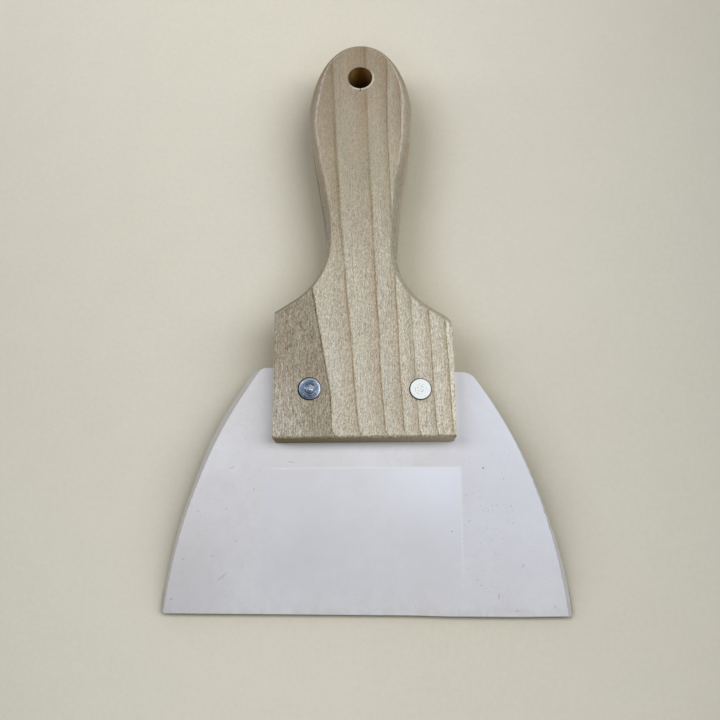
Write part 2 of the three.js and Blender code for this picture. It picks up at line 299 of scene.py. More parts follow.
def handle_ring(inset_round, drop_round, inset_cut, drop_cut):
    """One ring of the handle's skin: plan points and the drop below the face at each.

    The first two numbers serve the block's eased edges, the last two the chamfer, as shares of its size.
    """
    half = BLOCK_HALF_WIDTH
    rows, drops = [], []

    def eased(points, normal, inset, drop):
        inset = np.broadcast_to(inset, len(points))[:, None]
        rows.append(points - normal * inset * inset_round)
        drops.append(np.broadcast_to(drop, len(points)) * drop_round)

    def chamfered(points, size):
        rows.append(points)
        drops.append(np.broadcast_to(size, len(points)) * drop_cut)

    side, ahead = SIDE_EASE * inset_round, FRONT_INSET * inset_round
    bend = np.array((max(FRONT_CORNER - side, 0.25), max(FRONT_CORNER - ahead, 0.25)))
    corner_x, corner_y = half - side - bend[0], FRONT_Y + ahead + bend[1]

    def corner_arc(sign, to_side):
        """The block's front corner, whose bend shrinks on the inner rings."""
        around = arc(0, 0, 1, -90 if to_side else 180, 0 if to_side else 270, 8)
        share = np.linspace(0, 1, 8) if to_side else np.linspace(1, 0, 8)
        rows.append(around * bend + (sign * corner_x, corner_y))
        drops.append((FRONT_DROP + (SIDE_EASE - FRONT_DROP) * share) * drop_round)

    def grip(a, b, c, d, count, table):
        points = bezier(a, b, c, d, count + 1)
        ahead = bezier(a, b, c, d, (count + 1) * 50)
        normal = outward(ahead[np.arange(count + 1) * 50 + 1] - points)
        size = np.interp(points[:, 1], *table)
        chamfered(points - normal * (size * inset_cut)[:, None], size)

    def block_side(sign, start, end, count):
        points = line((sign * half, start), (sign * half, end), count)
        eased(points, np.array([[sign, 0]]), SIDE_EASE, SIDE_EASE)

    def hollow(sign, neck_y, turns, table):
        """A shoulder's hollow. Its centre is outside the wood, so an inset widens it."""
        widths = np.interp(neck_y - SHOULDER_RADIUS * np.sin(np.radians(turns)), *table)
        angles = np.radians(180 + turns if sign > 0 else -turns)
        radii = (SHOULDER_RADIUS + widths * inset_cut)[:, None]
        centre = GRIP_X + sign * (NECK_HALF_WIDTH + SHOULDER_RADIUS), neck_y
        return np.stack([np.cos(angles), np.sin(angles)], 1) * radii + centre, widths

    eased(line((-corner_x, FRONT_Y), (corner_x, FRONT_Y), 44), np.array([[0, -1]]), FRONT_INSET, FRONT_DROP)
    corner_arc(1, True)
    block_side(1, corner_y, SLOT_END_Y, 20)
    stop = RIGHT_CORNER_Y - RIGHT_CORNER - SIDE_STOP
    block_side(1, SLOT_END_Y, stop, 4)
    block_side(1, stop, stop, 1)

    # Right corner, ramp and hollow.
    size = CHAMFER_RIGHT[1][0]
    height = RIGHT_CORNER_Y - RAMP_STEEP * size * inset_cut
    a, b = np.array((half, height - RIGHT_CORNER)), np.array((half, height))
    c = np.array((half - RIGHT_CORNER, height + RAMP_SLOPE * RIGHT_CORNER))
    t = (np.arange(8) / 8)[:, None]
    chamfered((1 - t) ** 2 * a + 2 * t * (1 - t) * b + t ** 2 * c, size)
    turn = math.degrees(SHOULDER_TURN)
    points, widths = hollow(1, NECK_RIGHT_Y, turn * (1 - np.arange(30) / 30), CHAMFER_RIGHT)
    chamfered(line(c, points[0], 5), size)
    chamfered(points, widths)

    # Up the grip's right side, over the top and down its left side: points (x, y) from the grip's middle.
    top_y = TOP_Y - TOP_TRIM
    right = [(NECK_HALF_WIDTH, NECK_RIGHT_Y), (NECK_HALF_WIDTH, NECK_RIGHT_Y + NECK_PULL),
             (BULB_HALF_WIDTH, BULB_Y - BULB_PULL_DOWN), (BULB_HALF_WIDTH, BULB_Y),
             (BULB_HALF_WIDTH, BULB_Y + BULB_PULL_UP), (TOP_PULL, top_y), (0, top_y)]
    left = [(-x, y) for x, y in reversed(right[2:])]
    left += [(-NECK_HALF_WIDTH, NECK_LEFT_Y + NECK_PULL), (-NECK_HALF_WIDTH, NECK_LEFT_Y)]
    for curve, counts, table in ((right, (46, 34), CHAMFER_RIGHT), (left, (34, 46), CHAMFER_LEFT)):
        curve = [(GRIP_X + x, y) for x, y in curve]
        grip(*curve[:4], counts[0], table)
        grip(*curve[3:], counts[1], table)

    points, widths = hollow(-1, NECK_LEFT_Y, turn * np.arange(31) / 30, CHAMFER_LEFT)
    chamfered(points, widths)
    size = CHAMFER_LEFT[1][0]
    corner = np.array((-half, LEFT_CORNER_Y - RAMP_STEEP * size * inset_cut))
    chamfered(np.vstack([line(points[-1], corner, 5)[1:], corner]), size)
    block_side(-1, LEFT_CORNER_Y - SIDE_STOP, SLOT_END_Y, 4)
    block_side(-1, SLOT_END_Y, corner_y, 20)
    corner_arc(-1, False)
    return np.vstack(rows), np.concatenate(drops)


# Shares of the chamfer's size, (inset, drop), from inside the face to the side wall, both arrises softened.
# The third number marks the arris that gets the painted highlight, a pale line.
CUT_STEPS = [(1.5, 0, 0), (1.22, 0, 0), (1.13, 0.012, 0.8), (1.05, 0.045, 1), (0.97, 0.105, 1),
             (0.88, 0.18, 0.4), (0.5, 0.53, 0), (0.16, 0.87, 0), (0.09, 0.95, 0.2), (0.035, 1.04, 0.2),
             (0.006, 1.14, 0), (0, 1.24, 0)]
EASED_STEPS = [(1.6, 0)] + [quarter(angle) for angle in range(0, 91, 9)]  # the same for the eased edges


HOLE_STEPS = 72
HOLE_LIP = 0.42
CRACK_DEPTH = 0.75
CRACK_REACH = 9.0


def hole_ring(radius, z):
    """A ring of the hang hole, with the narrow crack that opens from its lower rim."""
    flat = circle(GRIP_X, HANG_HOLE_Y, radius, HOLE_STEPS)
    low = HOLE_STEPS * 3 // 4
    depth = CRACK_DEPTH * max(0.0, 1 - (THICKNESS - z) / CRACK_REACH)
    tip = flat[low] - (0, depth)
    flat[low - 1, 0], flat[low + 1, 0] = tip[0] - 0.16, tip[0] + 0.16
    flat[low - 1, 1] = flat[low + 1, 1] = HANG_HOLE_Y - radius + 0.003
    flat[low] = tip
    return at_height(flat, z)


def handle_skin():
    skin = Skin()
    front, back = [], []
    for eased, (inset, drop, mark) in zip(EASED_STEPS, CUT_STEPS):
        flat, drops = handle_ring(*eased, inset, drop)
        front.append(skin.add(at_height(flat, THICKNESS - drops), mark))
        back.append(skin.add(at_height(flat, drops), mark))
    flat, _ = handle_ring(0, 0, 0, 0)
    walls = {z: skin.add(at_height(flat, z)) for z in (SLOT_HIGH, SLOT_LOW)}
    for rings, flip in ((front, False), (back, True)):
        for upper, lower in zip(rings, rings[1:]):
            skin.strip(*((upper, lower) if flip else (lower, upper)))
    skin.strip(walls[SLOT_HIGH], front[-1])
    skin.strip(back[-1], walls[SLOT_LOW])

    # The slot: open at the front and both sides, closed by a wall at its inner end.
    at_end = [i for i, (_, y) in enumerate(flat) if abs(y - SLOT_END_Y) < 1e-6]
    right_end, left_end = (next(i for i in at_end if sign * flat[i][0] > 0) for sign in (1, -1))
    skin.strip(walls[SLOT_LOW], walls[SLOT_HIGH], keep=lambda i: right_end <= i < left_end)
    end_flat = line((-BLOCK_HALF_WIDTH, SLOT_END_Y), (BLOCK_HALF_WIDTH, SLOT_END_Y), 34)[1:]
    end_rows = {}
    for z in walls:
        row = skin.add(at_height(end_flat, z))
        end_rows[z] = [walls[z][left_end], *row, walls[z][right_end]]
    skin.strip(end_rows[SLOT_LOW], end_rows[SLOT_HIGH], closed=False)
    around = list(range(left_end, len(flat))) + list(range(0, right_end + 1))

    caps = {True: [front[0]], False: [back[0]]}
    cheeks = {True: [], False: []}
    for top in (True, False):
        slot_z = SLOT_HIGH if top else SLOT_LOW
        face = THICKNESS if top else 0.0
        sign = -1 if top else 1
        pocket = HEAD_SINK + HEAD_THICKNESS + GAP
        for x, y, head in RIVETS:
            bore, recess = TUBE_RADIUS + GAP, head + HEAD_GAP
            rings = [skin.add(at_height(circle(x, y, bore, 64), z)) for z in (slot_z, face + sign * pocket)]
            for wider, depth in ((0, pocket), (0, 0.1), (0.03, 0.03), (0.1, 0)):
                ring = circle(x - RECESS_OFF, y - RECESS_OFF, recess + wider, 64)
                rings.append(skin.add(at_height(ring, face + sign * depth)))
            for inner, outer in zip(rings, rings[1:]):
                skin.strip(*((outer, inner) if top else (inner, outer)))
            caps[top].append(rings[-1])
            cheeks[top].append(rings[0])
    lip = [(HANG_HOLE_RADIUS + HOLE_LIP * out, HOLE_LIP * down) for out, down in QUARTER_ROUND]
    heights = [THICKNESS - d for _, d in lip] + [18.0, 14.0, 11.0, 8.0, 4.0] + [d for _, d in reversed(lip)]
    radii = [r for r, _ in lip] + [HANG_HOLE_RADIUS] * 5 + [r for r, _ in reversed(lip)]
    marks = [0.3] * 2 + [0.8] * 3 + [0.2] * 2 + [0] * 5 + [0] * len(lip)
    holes = [skin.add(hole_ring(r, z), m) for r, z, m in zip(radii, heights, marks)]
    for upper, lower in zip(holes, holes[1:]):
        skin.strip(upper, lower)
    caps[True].append(holes[0])
    caps[False].append(holes[-1])

    skin.cap(caps[True], 2.2, True, THICKNESS)
    skin.cap(caps[False], 2.2, False, 0.0)
    for top, z in ((True, SLOT_HIGH), (False, SLOT_LOW)):
        rim = [walls[z][i] for i in around] + list(reversed(end_rows[z][1:-1]))
        skin.cap([rim, *cheeks[top]], 3.5, not top, z)
    return skin


# ---------------------------------------------------------------- blade

FREE_LENGTH = FRONT_Y - EDGE_Y
BLADE_LENGTH = BLADE_TOP_Y - EDGE_Y
EDGE_DROP = THICKNESS / 2 - EDGE_THICKNESS / 2 - EDGE_CLEARANCE


def side_centre():
    bottom, top = np.array((EDGE_HALF_WIDTH, EDGE_Y)), np.array((SIDE_TOP_HALF_WIDTH, BLADE_TOP_Y))
    chord = top - bottom
    inward = np.array((-chord[1], chord[0])) / np.linalg.norm(chord)
    return (bottom + top) / 2 + inward * math.sqrt(SIDE_RADIUS ** 2 - chord @ chord / 4)


SIDE_X, SIDE_Y = side_centre()


def side_half_width(y):
    return SIDE_X + np.sqrt(SIDE_RADIUS ** 2 - (y - SIDE_Y) ** 2)


def reach(y):
    """0 at the slot's mouth, 1 at the scraping edge."""
    return np.clip((FRONT_Y - y) / FREE_LENGTH, 0, 1)


def sag(y):
    u = reach(y)
    return EDGE_DROP * (6 * u ** 2 - 4 * u ** 3 + u ** 4) / 3


def sag_slope(y):
    u = reach(y)
    return EDGE_DROP * (12 * u - 12 * u ** 2 + 4 * u ** 3) / 3 / FREE_LENGTH


# Small nicks in the right side, as (height, depth, half length).
NICKS = [(-44.0, 0.35, 0.6), (-49.3, 0.45, 0.8), (-66.0, 0.2, 0.7)]


def blade_outline():
    """Flat plan of the front face, anticlockwise from the left end of the scraping edge."""
    lean = math.asin((BLADE_TOP_Y - SIDE_Y) / SIDE_RADIUS)
    rows = [line((-EDGE_HALF_WIDTH, EDGE_Y), (EDGE_HALF_WIDTH, EDGE_Y), 90)]
    for side, corner in ((1, RIGHT_TOP_CORNER), (-1, LEFT_TOP_CORNER)):
        tangent = BLADE_TOP_Y - corner * (1 - math.sin(lean))
        y = np.linspace(EDGE_Y, tangent, 121)[:-1]
        straight = np.stack([side * side_half_width(y), y], 1)
        cx = side_half_width(tangent) - corner * math.cos(lean)
        bend = arc(0, 0, 1, math.degrees(lean), 90, 12) * corner + (cx, BLADE_TOP_Y - corner)
        bend[:, 0] *= side
        top = np.array([(side * cx, BLADE_TOP_Y)])
        half_side = np.vstack([straight, bend, top])
        rows.append(half_side if side > 0 else half_side[::-1])
        if side > 0:
            left_tangent = BLADE_TOP_Y - LEFT_TOP_CORNER * (1 - math.sin(lean))
            left_cx = side_half_width(left_tangent) - LEFT_TOP_CORNER * math.cos(lean)
            rows.append(line((cx, BLADE_TOP_Y), (-left_cx, BLADE_TOP_Y), 30)[1:])
    return np.vstack(rows)[:-1]


def blade_place(points):
    """Moves flat points, whose z runs -1 to 1 through the thickness, to their places on the sagging blade."""
    x, y, level = points.T
    thickness = ROOT_THICKNESS + (EDGE_THICKNESS - ROOT_THICKNESS) * reach(y)
    depth = thickness * (1 - level) / 2
    outer = np.maximum(side_half_width(np.minimum(y, BLADE_TOP_Y)), 1)
    near_side = smooth(np.abs(x) / outer, 0.86, 1)
    high = smooth(y, -38, -5)
    cut = np.where(x < 0, LEFT_CUT + (LEFT_CUT_TOP - LEFT_CUT) * high,
                   RIGHT_CUT + (RIGHT_CUT_TOP - RIGHT_CUT) * smooth(y, RIGHT_CUT_FULL_Y, RIGHT_CUT_START_Y))
    shift = SIDE_SHIFT * smooth(np.abs(x) / outer, 0.6, 1) * np.where(x < 0, 1 - high, 1 + 0.7 * high)
    nick = sum(size * (1 - smooth(np.abs(y - height), 0, half)) for height, size, half in NICKS)
    wander = 0.07 * np.sin(1.9 * y) + 0.05 * np.sin(3.7 * y + 1)
    wander = wander * smooth(np.abs(x) / outer, 0.97, 1) * (1 - high)
    x = x + shift + wander + np.sign(x) * cut * depth * near_side - nick * smooth(x / outer, 0.985, 1)
    along = (y - EDGE_Y) / BLADE_LENGTH
    tilt = np.arctan(sag_slope(y))
    offset = thickness / 2 * level
    y_new = y - np.sin(tilt) * offset - BLADE_TOP_SLOPE * x * np.clip(along, 0, 1) ** TOP_SLOPE_REACH
    y_new -= 0.3 * smooth(x, 15, 35) * (1 - smooth(x, 55, 74)) * np.clip(1 - along, 0, 1) ** 6
    z = THICKNESS / 2 - sag(y) + np.cos(tilt) * offset
    c, s = math.cos(BLADE_TURN), math.sin(BLADE_TURN)
    return np.stack([c * x - s * y_new, s * x + c * y_new, z], 1)


def blade_skin():
    skin = Skin()
    plan = blade_outline()
    normal = outward(np.roll(plan, -1, 0) - np.roll(plan, 1, 0))
    level_ease = BLADE_EASE * 2 / 4
    rings = []
    for inset, drop in QUARTER_ROUND:
        mark = 0.4 if (inset, drop) in (QUARTER_ROUND[0], QUARTER_ROUND[-1]) else 1.0
        rings.append((plan - normal * BLADE_EASE * inset, 1 - level_ease * drop, mark))
    middle = [(plan, 0.4, 0.0), (plan, -0.4, 0.0)]
    under = [(flat, -level, 0.0) for flat, level, _ in reversed(rings)]
    inner = plan - normal * BLADE_EASE * 1.7
    stack = [(inner, 1.0, 0.0)] + rings + middle + under + [(inner, -1.0, 0.0)]
    loops = [skin.add(at_height(flat, level), mark) for flat, level, mark in stack]
    for upper, lower in zip(loops, loops[1:]):
        skin.strip(lower, upper)
    bores = {True: [], False: []}
    for x, y, _ in RIVETS:
        shift = BLADE_TOP_SLOPE * x * (-EDGE_Y / BLADE_LENGTH) ** TOP_SLOPE_REACH
        c, s = math.cos(-BLADE_TURN), math.sin(-BLADE_TURN)
        ring = circle(c * x - s * y, s * x + c * y + shift, TUBE_RADIUS + GAP, 64)
        low, high = skin.add(at_height(ring, -1.0)), skin.add(at_height(ring, 1.0))
        skin.strip(high, low)
        bores[True].append(high)
        bores[False].append(low)
    skin.cap([loops[0], *bores[True]], 2.0, True, 1.0)
    skin.cap([loops[-1], *bores[False]], 2.0, False, -1.0)
    return skin


# ---------------------------------------------------------------- rivets

TURN_STEPS = 96
SMALL_BEVEL = 0.06
POST_EASE, CAP_EASE = 0.22, 0.25
RING_START, RING_SPACING, RING_DEPTH = 4.0, 0.95, 0.05
DIMPLE_DEPTH, BOSS_HEIGHT = 0.33, 0.16


def turned_skin(profile, rivet, wobble=None, flip=False):
    """A turned half of a rivet. Its profile of (radius, height) runs from the axis out, up and back.

    wobble(radius, angle, height) gives the small change in height left by hammering.
    """
    skin = Skin()
    rings = []
    for radius, height in profile:
        flat = circle(0, 0, radius, TURN_STEPS) if radius else np.zeros((1, 2))
        z = np.full(len(flat), float(height))
        if wobble:
            z = z + np.array([wobble(radius, math.atan2(y, x), height) for x, y in flat])
        rings.append(skin.add(np.column_stack([flat, z])))
    for low, high in zip(rings, rings[1:]):
        if len(low) == 1:
            skin.faces += [(low[0], high[(i + 1) % TURN_STEPS], high[i]) for i in range(TURN_STEPS)]
        elif len(high) == 1:
            skin.faces += [(low[i], low[(i + 1) % TURN_STEPS], high[0]) for i in range(TURN_STEPS)]
        else:
            skin.strip(low, high)
    points = np.array(skin.points)
    if flip:
        points = points * (1, -1, -1) + (0, 0, THICKNESS)
    skin.points = [tuple(p) for p in points + (*rivet[:2], 0)]
    return skin


def post_profile(head):
    """Solid half: flat head of this radius at the bottom, shank up."""
    bottom = HEAD_SINK
    top = bottom + HEAD_THICKNESS
    end = bottom + SHANK_LENGTH
    face = [(r, bottom) for r in (0, 0.3, 0.8, 1.3, 1.8, 2.3, 2.8, 3.2, 3.5)]
    rim = [(head - POST_EASE * out, bottom + POST_EASE * down) for out, down in QUARTER_ROUND]
    back = [(head, top - SMALL_BEVEL), (head - SMALL_BEVEL, top), (SHANK_RADIUS + 0.15, top)]
    shank = [(SHANK_RADIUS, top + 0.15), (SHANK_RADIUS, end - 0.3), (SHANK_RADIUS - 0.3, end), (0, end)]
    return face + rim + back + shank


def cap_profile(head):
    """Tubular half: head of this radius at the top, pressed into rings and a low boss as the rivet closed."""
    top = THICKNESS - HEAD_SINK
    under = top - HEAD_THICKNESS
    mouth = top - TUBE_LENGTH
    bore, bore_end = SHANK_RADIUS + GAP, top - TUBE_BORE_END
    tube = [(0, bore_end), (bore, bore_end), (bore, mouth + 0.2), (bore + 0.1, mouth),
            (TUBE_RADIUS - 0.1, mouth), (TUBE_RADIUS, mouth + 0.1), (TUBE_RADIUS, under)]
    back = [(head - SMALL_BEVEL, under), (head, under + SMALL_BEVEL)]
    rim = [(head - CAP_EASE * down, top - CAP_EASE * out) for out, down in QUARTER_ROUND]
    radii = [float(r) for r in np.linspace(head - 0.3, 0.12, 42)] + [0.0]
    return tube + back + rim + [(r, top - pressed(r)) for r in radii]


def pressed(r):
    """Depth of the cap's face at a radius: shallow rings outside, then a dimple with a low boss."""
    rings = 0.0
    if r > 2.0:
        wave = 1 - math.cos((r - RING_START) * 2 * math.pi / RING_SPACING)
        rings = RING_DEPTH * float(smooth(r, RING_START, 3.6)) * wave / 2
    dimple = DIMPLE_DEPTH * (1 - float(smooth(r, 1.45, 2.15)))
    boss = BOSS_HEIGHT * (1 - float(smooth(r, 0.5, 1.2)))
    return rings + dimple - boss


def hammered(r, angle, z):
    """Uneven rings and a slight tilt on the pressed cap, only near its face."""
    if z < THICKNESS - HEAD_SINK - 0.6:
        return 0.0
    fade = 1 - float(smooth(r, 3.5, 3.85))
    uneven = 0.035 * math.sin(angle * 2 + 1.1 + r * 1.7) + 0.025 * math.sin(angle * 3 - 0.6 - r * 2.3)
    tilt = 0.018 * r * math.sin(angle + 0.7)
    return min(fade * uneven - 0.04 * fade, 0.02) - abs(tilt) * fade * 0.5 + tilt * 0.5 * fade


# ---------------------------------------------------------------- materials

def operator(operation, swapped=False):
    """A method that adds a maths node for one of Python's operators."""
    def apply(self, other):
        return self.nodes.math(operation, *((other, self) if swapped else (self, other)))
    return apply


class Value:
    """An output of a shader node that can stand in sums and products."""

    __array_ufunc__ = None  # a numpy number on the left leaves the sum to this class

    def __init__(self, nodes, socket):
        self.nodes, self.socket = nodes, socket

    __add__, __radd__ = operator("ADD"), operator("ADD", True)
    __sub__, __rsub__ = operator("SUBTRACT"), operator("SUBTRACT", True)
    __mul__, __rmul__ = operator("MULTIPLY"), operator("MULTIPLY", True)
    __truediv__ = operator("DIVIDE")

    def __abs__(self):
        return self.nodes.math("ABSOLUTE", self)


class Nodes:
    """Short calls that add and link shader nodes. Those that give a result give it as a Value."""

    def __init__(self, name):
        self.material = bpy.data.materials.new(name)
        self.material.use_nodes = True
        self.tree = self.material.node_tree
        self.tree.nodes.clear()
        coordinate = self.get("ShaderNodeTexCoord", "Object")
        self.place = self.vector("MULTIPLY", coordinate, (1 / MM, 1 / MM, 1 / MM))
        self.x, self.y, self.z = self.parts(self.place)
        self.normal = self.get("ShaderNodeNewGeometry", "Normal")

    def get(self, kind, output, inputs=(), **settings):
        """Adds a node, fills its inputs from (name, value) pairs and gives one of its outputs."""
        node = self.tree.nodes.new(kind)
        for key, value in settings.items():
            setattr(node, key, value)
        for name, value in inputs:
            self.put(node.inputs[name], value)
        return Value(self, node.outputs[output]) if output is not None else None

    def put(self, socket, value):
        if isinstance(value, Value):
            self.tree.links.new(value.socket, socket)
        elif value is not None:
            socket.default_value = value

    def math(self, operation, *values):
        return self.get("ShaderNodeMath", 0, enumerate(values), operation=operation)

    def vector(self, operation, *values):
        output = "Value" if operation in ("LENGTH", "DISTANCE") else "Vector"
        return self.get("ShaderNodeVectorMath", output, enumerate(values), operation=operation)

    def parts(self, vector):
        """The x, y and z of a vector."""
        node = self.get("ShaderNodeSeparateXYZ", 0, [(0, vector)]).socket.node
        return [Value(self, output) for output in node.outputs]

    def join(self, x, y, z):
        return self.get("ShaderNodeCombineXYZ", 0, enumerate((x, y, z)))

    def away(self, x, y):
        """Distance in plan from a point."""
        return self.vector("LENGTH", self.join(self.x - x, self.y - y, 0.0))

    def step(self, value, low, high, to_low=0.0, to_high=1.0, kind="SMOOTHSTEP"):
        """Eases from one number to another as the value runs from low to high."""
        inputs = enumerate((value, low, high, to_low, to_high))
        return self.get("ShaderNodeMapRange", 0, inputs, interpolation_type=kind)

    def linear(self, *values):
        return self.step(*values, kind="LINEAR")

    def texture_place(self, per_mm, shift, vector=None):
        """A vector, or the place itself, in units per millimetre: one number, or one each for x, y and z."""
        per_mm = (per_mm,) * 3 if isinstance(per_mm, float) else per_mm
        return self.vector("ADD", self.vector("MULTIPLY", vector or self.place, per_mm), shift)

    def noise(self, per_mm, detail, rough, seed, vector=None):
        place = self.texture_place(per_mm, (seed * 13.7, seed * 7.1, seed * 3.3), vector)
        inputs = ("Vector", place), ("Scale", 1.0), ("Detail", detail), ("Roughness", rough)
        return self.get("ShaderNodeTexNoise", "Fac", inputs, noise_dimensions="3D")

    def cells(self, per_mm, seed):
        """Distance to the nearest of scattered points."""
        place = self.texture_place(per_mm, (seed * 5.3, seed * 9.1, seed * 2.7))
        return self.get("ShaderNodeTexVoronoi", "Distance", [("Vector", place), ("Scale", 1.0)])

    def open_air(self, distance):
        """Ambient occlusion within so many millimetres: 1 in the open, 0 where closed in."""
        return self.get("ShaderNodeAmbientOcclusion", "AO", [("Distance", distance * MM)], samples=2)

    def ramp(self, value, stops):
        result = self.get("ShaderNodeValToRGB", 0, [(0, value)])
        elements = result.socket.node.color_ramp.elements
        while len(elements) < len(stops):
            elements.new(0.5)
        for element, (position, colour) in zip(elements, stops):
            element.position = position
            element.color = (*colour, 1)
        return result

    def mix(self, share, a, b, blend="MIX"):
        a, b = ((*c, 1) if isinstance(c, tuple) else c for c in (a, b))
        inputs = (0, share), (6, a), (7, b)
        return self.get("ShaderNodeMix", 2, inputs, data_type="RGBA", blend_type=blend)

    def multiply(self, a, b):
        return self.mix(1.0, a, b, "MULTIPLY")

    def scale(self, colour, factor):
        """A colour times a number."""
        return self.get("ShaderNodeVectorMath", "Vector", [(0, colour), (3, factor)], operation="SCALE")

    def mark(self):
        return self.get("ShaderNodeAttribute", "Fac", attribute_name="mark")

    def bump(self, height, distance, strength):
        """Height in millimetres times distance."""
        inputs = ("Height", height), ("Distance", distance * MM), ("Strength", strength)
        return self.get("ShaderNodeBump", 0, inputs)

    def finish(self, **inputs):
        named = [(name.replace("_", " "), value) for name, value in inputs.items()]
        shader = self.get("ShaderNodeBsdfPrincipled", 0, named)
        self.get("ShaderNodeOutputMaterial", None, [(0, shader)])
        return self.material


def srgb(r, g, b):
    """A colour given as 0-255 screen values, as the linear numbers that shaders take."""
    return tuple(c / 255 / 12.92 if c <= 10 else ((c / 255 + 0.055) / 1.055) ** 2.4 for c in (r, g, b))


def seen(r, g, b):
    """The base colour that shows as these screen values on a face turned up to this scene's light."""
    return tuple((c - 0.02) / 0.86 for c in srgb(r, g, b))


# Places where the late, dark wood of a year ends, across the front face at GRAIN_Y.
YEARS = [-58, -49, -40, -31, -9.6, -2.0, 8.0, 14.9, 20.4, 27.0, 32.8, 38.6, 44.5]
GRAIN_Y = -17.0


def wood():
    n = Nodes("pale_hardwood")
    s = n.y - GRAIN_Y
    drift = (n.noise((0.035, 0.012, 0.035), 2, 0.5, 1) - 0.5) * 2.2
    wiggle = (n.noise((0.12, 0.06, 0.12), 2, 0.5, 2) - 0.5) * 0.55
    ripple = (n.noise((0.5, 0.16, 0.5), 2, 0.5, 12) - 0.5) * 0.35
    depth = (n.z - THICKNESS) * 0.9
    veer = n.step(n.y, FRONT_Y + 3.6, FRONT_Y, 0, -1.2) + n.step(n.y, 1, -17, 0, 2.0) * n.step(n.x, -2, -8)
    across = n.x + drift + wiggle + ripple + depth + veer + s * s * -0.00015
    lean_right = across + s * 0.049
    lean_left = (across + s * 0.0802) / (s * 0.0026 + 1)
    lean_far = (across + s * 0.0602) / (s * 0.0124 + 1)
    ring = n.math("MAXIMUM", n.math("MAXIMUM", lean_right, lean_left), lean_far)
    count = sum(n.linear(ring, a, b) for a, b in zip(YEARS, YEARS[1:]))
    year = n.math("FLOOR", count)
    phase = n.math("FRACT", count)
    own = n.get("ShaderNodeTexWhiteNoise", "Value", [("W", year + 0.5)], noise_dimensions="1D")

    # A year's wood darkens slowly to the right and ends in a thin, uneven brown line.
    early, mid, late = seen(195, 189, 176), seen(188, 180, 165), seen(176, 166, 147)
    edge, plain = seen(142, 126, 98), seen(187, 179, 164)
    colour = n.ramp(phase, [(0, late), (0.04, early), (0.35, early), (0.65, mid), (0.93, late), (1, late)])
    thin = n.linear(phase, 0.915, 0.955) * n.linear(phase, 1.0, 0.98)
    colour = n.mix(thin * n.step(n.y, 30, 95, 0.95, 0.55), colour, edge)
    swing = n.step(phase, 0.08, 0.85, 1.04, 0.955)
    colour = n.scale(colour, 1 + (swing - 1) * n.step(n.x, 6, 18))
    patchy = n.noise((0.3, 0.035, 0.3), 3, 0.6, 11)
    colour = n.mix(n.step(patchy, 0.35, 0.65, 0.4, 0.0) + own * 0.12, colour, plain)

    # Left of the boundary the wood is greyer and browner, darkest beside the line and towards the shoulder.
    left = n.math("LESS_THAN", ring, YEARS[4])
    pale = n.step(ring, YEARS[4] - 5, YEARS[4] - 17) * n.step(n.y, 16, -10)
    colour = n.mix(left, colour, n.mix(pale, seen(153, 144, 129), seen(172, 164, 153)))
    boundary = n.step(ring, YEARS[4] - 0.7, YEARS[4] - 0.2) * left * n.step(patchy, 0.3, 0.6, 0.35, 1.0)
    colour = n.mix(boundary * 0.85, colour, seen(118, 101, 82))

    # The cut chamfers are darker and plainer than the face, most of all at the neck.
    _, facing_y, facing_z = n.parts(n.normal)
    level = abs(facing_z)
    chamfer = n.step(level, 0.97, 0.86) * n.step(level, 0.15, 0.4) * n.step(n.y, 12, 16)
    on_left = n.math("LESS_THAN", n.x, GRIP_X)
    shade_left = n.step(n.y, 70, 112, 0.62, 0.82) * n.step(n.y, 30, 50, 0.8, 1.0)
    shade_right = n.step(n.y, 84, 112, 0.7, 0.88)
    shade = on_left * shade_left + (1 - on_left) * shade_right
    tone = n.mix(on_left, srgb(252, 255, 252), srgb(255, 249, 250))
    colour = n.mix(chamfer * 0.8, colour, plain)
    colour = n.mix(chamfer, colour, n.scale(n.multiply(colour, tone), shade))

    # Darker and browner towards the hang hole, more so on the left; the right of the block a little lighter.
    darker_up_grip = n.ramp(n.linear(n.y, -20, 150), [
        (0.0, (1, 1, 1)), (0.22, (0.98, 0.98, 0.975)), (0.42, (0.92, 0.915, 0.90)),
        (0.52, (0.84, 0.82, 0.79)), (0.62, (0.78, 0.755, 0.69)), (0.73, (0.74, 0.70, 0.64)),
        (0.84, (0.68, 0.63, 0.57)), (0.95, (0.62, 0.55, 0.48))])
    colour = n.multiply(colour, darker_up_grip)
    colour = n.scale(colour, 1 + n.step(n.x, 0, -14, 0, -0.05) * n.step(n.y, 70, 120))
    colour = n.scale(colour, 1 + n.step(n.x, 8, 30, 0, 0.075) * n.step(n.y, 40, 20))
    blotch = n.noise((0.06, 0.02, 0.06), 3, 0.6, 4)
    colour = n.scale(colour, n.linear(blotch, 0.3, 0.7, 0.95, 1.05))
    tint = n.noise((0.2, 0.03, 0.2), 2, 0.55, 8)
    tint = n.mix(n.step(tint, 0.36, 0.64), (1.016, 0.993, 0.982), (0.985, 1.006, 1.002))
    colour = n.multiply(colour, tint)

    # Fibres and flecks along the grain.
    stretched = n.join(n.x + drift, n.y, n.z)
    streak = n.noise((2.4, 0.05, 2.4), 3, 0.65, 5, stretched)
    fibre = n.noise((3.6, 0.24, 3.6), 2, 0.6, 6, stretched)
    fleck = n.noise((4.7, 1.3, 4.7), 1, 0.5, 7, stretched)
    fibrous = n.step(n.x, 5, 25, 0.9, 1.4) + left * 0.5
    grain = (fleck - 0.5) * 1.8 + (fibre - 0.5) * fibrous + (streak - 0.5) * 0.65
    grain = grain * n.step(n.y, 45, 110, 1.0, 0.55) * (1 + left * 0.3)
    colour = n.vector("MULTIPLY", colour, n.join(1 + grain * 0.93, 1 + grain, 1 + grain * 1.15))
